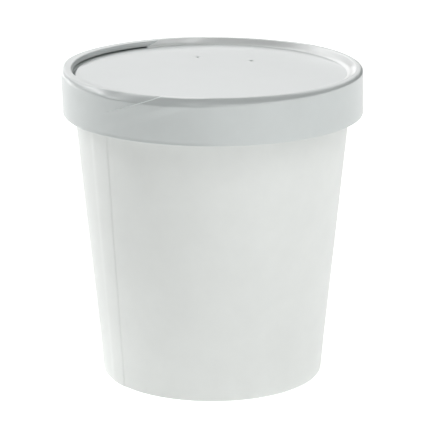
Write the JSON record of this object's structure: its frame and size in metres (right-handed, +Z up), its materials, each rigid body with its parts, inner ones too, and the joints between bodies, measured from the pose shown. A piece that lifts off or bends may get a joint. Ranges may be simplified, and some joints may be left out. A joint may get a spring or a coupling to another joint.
{
  "type": "takeaway soup container",
  "caption": "Round tapered paper food cup, shut with a flat-topped paper lid that has a rolled bead, a deep side band and two pinhole vents.",
  "frame": {"origin": "centre of the ring that the cup stands on, on the table", "axes": "+Z up along the cup's axis, -Y towards the front, where the lid's lap shows; the cup's side seam is to the front left, at -X -Y"},
  "size_m": [0.1006, 0.1006, 0.1044],
  "materials": {
    "cup_paper": "white coated paperboard, satin",
    "lid_paper": "white coated paperboard, half gloss"
  },
  "bodies": {
    "root": {"cup": "cup_paper", "cup_base": "cup_paper", "lid_band": "lid_paper", "lid_panel": "lid_paper"}
  },
  "joints": []
}
